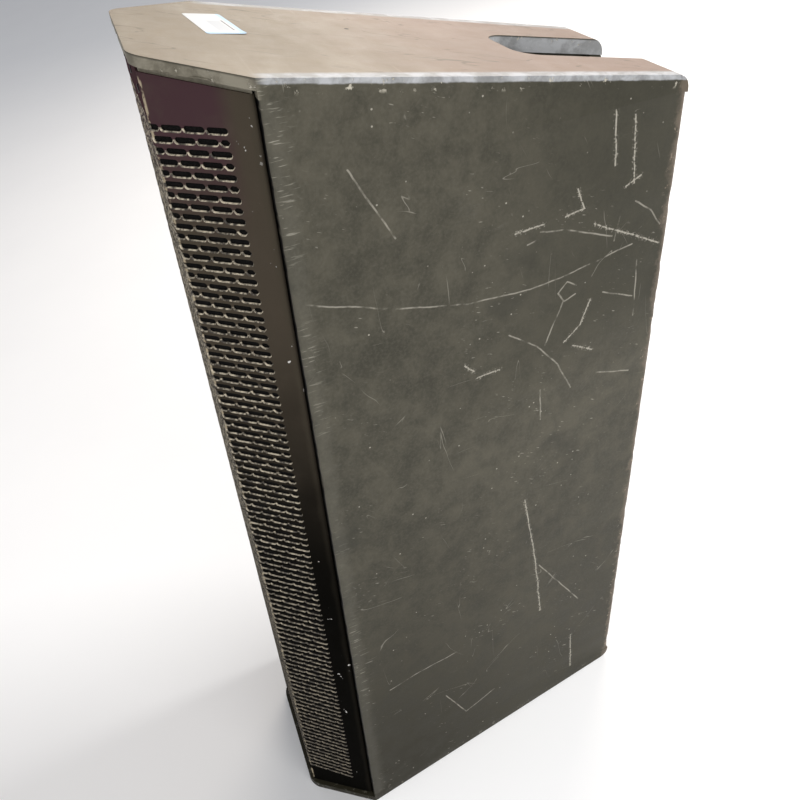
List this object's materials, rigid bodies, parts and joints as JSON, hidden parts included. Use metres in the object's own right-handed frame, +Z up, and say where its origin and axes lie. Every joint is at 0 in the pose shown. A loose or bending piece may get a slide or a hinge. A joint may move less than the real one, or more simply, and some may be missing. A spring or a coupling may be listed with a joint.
{
  "type": "line array speaker",
  "caption": "Wedge-shaped line array speaker element in a worn painted plywood cabinet with a folded slotted steel grille, standing on its end panel.",
  "frame": {"origin": "on the floor below the middle of the standing cabinet's box", "axes": "+Z up, -Y towards the grille, +Y towards the back, +X towards the panel that is on top when the cabinet hangs"},
  "size_m": [0.296, 0.6326, 1.0118],
  "materials": {
    "textured_paint": "worn dark olive-grey textured paint over plywood, satin",
    "birch_ply": "raw birch plywood",
    "black_powder_coat": "black powder coat, semi-gloss, chipped",
    "foam": "open-cell acoustic foam",
    "damping": "grey damping foam",
    "label_film": "white adhesive film, satin",
    "black_screw": "black oxide",
    "zinc_steel": "zinc-plated steel, satin",
    "ferrite": "dark sintered ferrite, matt",
    "cast_black": "black painted casting, satin",
    "paper_cone": "black pressed paper, matt",
    "rubber_roll": "black rubber, satin",
    "spider_cloth": "phenolic-treated cloth",
    "copper_winding": "enamelled copper wire",
    "moulded_black": "black moulded plastic, satin",
    "phase_brass": "machined",
    "titanium": "thin titanium foil, satin",
    "contact_brass": "tinned brass tabs",
    "board_green": "solder-resist green",
    "capacitor_film": "yellow wrapped film",
    "ceramic": "cement resistor body",
    "cable_black": "black flexible jacket",
    "cable_red": "dark red flexible jacket",
    "cable_blue": "blue flexible jacket"
  },
  "bodies": {
    "cabinet": {"top_panel": "textured_paint", "bottom_panel": "textured_paint", "left_end_panel": "textured_paint", "right_end_panel": "textured_paint", "baffle": "birch_ply", "rear_panel": "textured_paint", "left_divider": "birch_ply", "right_divider": "birch_ply", "port_boards": "birch_ply", "left_recess_box": "textured_paint", "right_recess_box": "textured_paint", "left_rigging_plate": "zinc_steel", "right_rigging_plate": "zinc_steel", "grille_battens": "textured_paint", "front_grille": "black_powder_coat", "grille_foam": "foam", "damping_foam": "damping", "end_label": "label_film", "grille_screws": "black_screw", "woofer_screws": "black_screw", "horn_screws": "black_screw", "plate_screws": "black_screw", "left_basket": "cast_black", "left_top_plate": "zinc_steel", "left_magnet": "ferrite", "left_yoke": "zinc_steel", "left_surround": "rubber_roll", "left_spider": "spider_cloth", "right_basket": "cast_black", "right_top_plate": "zinc_steel", "right_magnet": "ferrite", "right_yoke": "zinc_steel", "right_surround": "rubber_roll", "right_spider": "spider_cloth", "hf_horn": "moulded_black", "hf_waveguide": "moulded_black", "hf_front_plate": "zinc_steel", "hf_magnet": "ferrite", "hf_gap_plate": "zinc_steel", "hf_phase_plug": "phase_brass", "hf_rear_cover": "moulded_black", "connector_plate": "black_powder_coat", "input_socket": "moulded_black", "link_socket": "moulded_black", "socket_contacts": "contact_brass", "crossover_board": "board_green", "crossover_coils": "copper_winding", "crossover_capacitors": "capacitor_film", "crossover_resistors": "ceramic", "input_lead": "cable_black", "left_woofer_lead": "cable_red", "right_woofer_lead": "cable_red", "hf_lead": "cable_blue"},
    "left_cone_assembly": {"left_cone": "paper_cone", "left_dust_cap": "paper_cone", "left_voice_coil": "copper_winding"},
    "right_cone_assembly": {"right_cone": "paper_cone", "right_dust_cap": "paper_cone", "right_voice_coil": "copper_winding"},
    "hf_diaphragm": {"hf_diaphragm": "titanium"}
  },
  "joints": [
    {"name": "left_cone_travel", "type": "slide", "parent": "cabinet", "child": "left_cone_assembly", "axis": [0, -0.9842, 0.1771], "range_m": [-0.005, 0.005], "stiffness_N_per_m": 4000, "deforming": ["left_surround", "left_spider"]},
    {"name": "right_cone_travel", "type": "slide", "parent": "cabinet", "child": "right_cone_assembly", "axis": [0, -0.9842, 0.1771], "range_m": [-0.005, 0.005], "stiffness_N_per_m": 4000, "deforming": ["right_surround", "right_spider"]},
    {"name": "hf_diaphragm_travel", "type": "slide", "parent": "cabinet", "child": "hf_diaphragm", "axis": [0, -0.9842, 0.1771], "range_m": [-0.0004, 0.0004], "stiffness_N_per_m": 20000}
  ]
}
